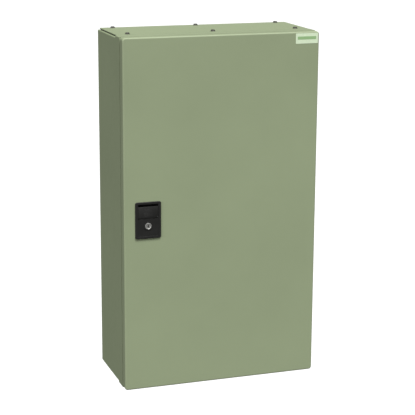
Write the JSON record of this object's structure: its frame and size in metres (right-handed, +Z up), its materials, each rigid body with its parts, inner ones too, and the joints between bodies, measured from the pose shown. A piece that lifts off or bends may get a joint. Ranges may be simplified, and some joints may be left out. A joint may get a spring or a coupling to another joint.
{
  "type": "automatic transfer switch",
  "caption": "Wall-mounted sheet-steel enclosure with a hinged, key-locked door, holding a motor-driven four-pole changeover switch, its controller, control breakers and wiring.",
  "frame": {"origin": "centre of the four wall-fixing holes, on the wall face of the rear panel", "axes": "+Z up, +X to the right as seen from the front, the door faces -Y and the wall is at +Y"},
  "size_m": [0.4, 0.1833, 0.7064],
  "materials": {
    "enclosure_paint": "semi-gloss polyester powder coat, sage grey-green, fine orange peel",
    "galvanised": "hot-dip galvanised sheet with faint spangle",
    "zinc_steel": "bright zinc-plated steel",
    "gasket_foam": "dark foamed seal with a fine skin",
    "lock_black": "satin black coated zinc casting",
    "barrel_chrome": "nickel-chromed key barrel",
    "label_pale": "pale plain self-adhesive label",
    "black_mould": "black glass-filled moulding",
    "grey_mould": "light grey moulding",
    "pale_mould": "off-white moulding",
    "duct_grey": "grey rigid duct plastic",
    "clear_cover": "clear polycarbonate, lightly smoked",
    "display_window": "dark glossy display window",
    "copper": "bare electrolytic copper, tinned edges",
    "brass": "machined brass",
    "gear_nylon": "natural nylon",
    "plug_green": "green connector plastic",
    "signal_red": "red gloss moulding",
    "button_dark": "dark grey button",
    "lead_sheath": "black flexible insulation",
    "earth_sheath": "green and yellow insulation"
  },
  "bodies": {
    "enclosure": {"body_wrap": "enclosure_paint", "rear_panel": "enclosure_paint", "gland_gaskets": "gasket_foam", "gland_plates": "enclosure_paint", "gland_screws": "zinc_steel", "hinge_body_leaves": "zinc_steel", "hinge_pins": "zinc_steel", "plate_studs": "zinc_steel", "mounting_plate": "galvanised", "plate_nuts": "zinc_steel", "din_rail": "zinc_steel", "terminal_blocks": "grey_mould", "mcb_cases": "pale_mould", "wiring_ducts": "duct_grey", "duct_covers": "duct_grey", "controller_case": "black_mould", "controller_window": "display_window", "controller_plugs": "plug_green", "switch_base": "black_mould", "rotor_bushes": "brass", "switch_cover": "clear_cover", "source_1_terminals": "copper", "source_2_terminals": "copper", "load_terminals": "copper", "terminal_bolts": "zinc_steel", "phase_barriers": "pale_mould", "drive_housing": "grey_mould", "drive_cover": "grey_mould", "motor": "zinc_steel", "earth_bar": "copper", "earth_bar_screws": "brass", "standoffs": "zinc_steel", "handle_clips": "black_mould", "manual_handle": "signal_red", "earth_lead": "earth_sheath", "body_earth_stud": "brass", "control_leads": "lead_sheath"},
    "rotor": {"rotor": "signal_red", "moving_contacts": "copper", "drive_shaft": "zinc_steel", "drive_gear": "gear_nylon", "position_indicator": "pale_mould"},
    "motor_rotor": {"motor_pinion": "brass"},
    "door": {"door_panel": "enclosure_paint", "door_gasket": "gasket_foam", "door_rails": "galvanised", "hinge_door_leaves": "zinc_steel", "lock_frame": "lock_black", "lock_flap_pin": "zinc_steel", "door_label": "label_pale", "document_pocket": "grey_mould", "door_earth_stud": "brass"},
    "lock_flap": {"lock_flap": "lock_black"},
    "lock_barrel": {"key_barrel": "barrel_chrome", "lock_cam": "zinc_steel"},
    "mcb_1_toggle": {"mcb_1_toggle": "button_dark"},
    "mcb_2_toggle": {"mcb_2_toggle": "button_dark"},
    "mode_button": {"mode_button": "button_dark"},
    "test_button": {"test_button": "button_dark"},
    "reset_button": {"reset_button": "signal_red"}
  },
  "joints": [
    {"name": "door_hinge", "type": "hinge", "parent": "enclosure", "child": "door", "pos_m": [0.193, -0.17, 0], "axis": [0, 0, 1], "range_deg": [0, 110]},
    {"name": "flap_hinge", "type": "hinge", "parent": "door", "child": "lock_flap", "pos_m": [-0.1515, -0.1804, 0.001], "axis": [1, 0, 0], "range_deg": [0, 60], "stiffness_Nm_per_rad": 0.03, "springref_deg": -11.46},
    {"name": "lock_turn", "type": "hinge", "parent": "door", "child": "lock_barrel", "pos_m": [-0.1515, -0.165, -0.0156], "axis": [0, 1, 0], "range_deg": [0, 90]},
    {"name": "transfer_shaft", "type": "hinge", "parent": "enclosure", "child": "rotor", "pos_m": [0, -0.085, -0.06], "axis": [1, 0, 0], "range_deg": [-45, 45]},
    {"name": "motor_spin", "type": "hinge", "parent": "enclosure", "child": "motor_rotor", "pos_m": [0.045, -0.065, -0.02995], "axis": [1, 0, 0], "range_deg": [-135, 135]},
    {"name": "mcb_1_switch", "type": "hinge", "parent": "enclosure", "child": "mcb_1_toggle", "pos_m": [-0.093, -0.097, 0.25], "axis": [1, 0, 0], "range_deg": [0, 80]},
    {"name": "mcb_2_switch", "type": "hinge", "parent": "enclosure", "child": "mcb_2_toggle", "pos_m": [-0.053, -0.097, 0.25], "axis": [1, 0, 0], "range_deg": [0, 80]},
    {"name": "mode_press", "type": "slide", "parent": "enclosure", "child": "mode_button", "axis": [0, 1, 0], "range_m": [0, 0.0015], "stiffness_N_per_m": 400},
    {"name": "test_press", "type": "slide", "parent": "enclosure", "child": "test_button", "axis": [0, 1, 0], "range_m": [0, 0.0015], "stiffness_N_per_m": 400},
    {"name": "reset_press", "type": "slide", "parent": "enclosure", "child": "reset_button", "axis": [0, 1, 0], "range_m": [0, 0.0015], "stiffness_N_per_m": 400}
  ],
  "couplings": [
    {"joint": "motor_spin", "follows": "transfer_shaft", "ratio": -3}
  ]
}
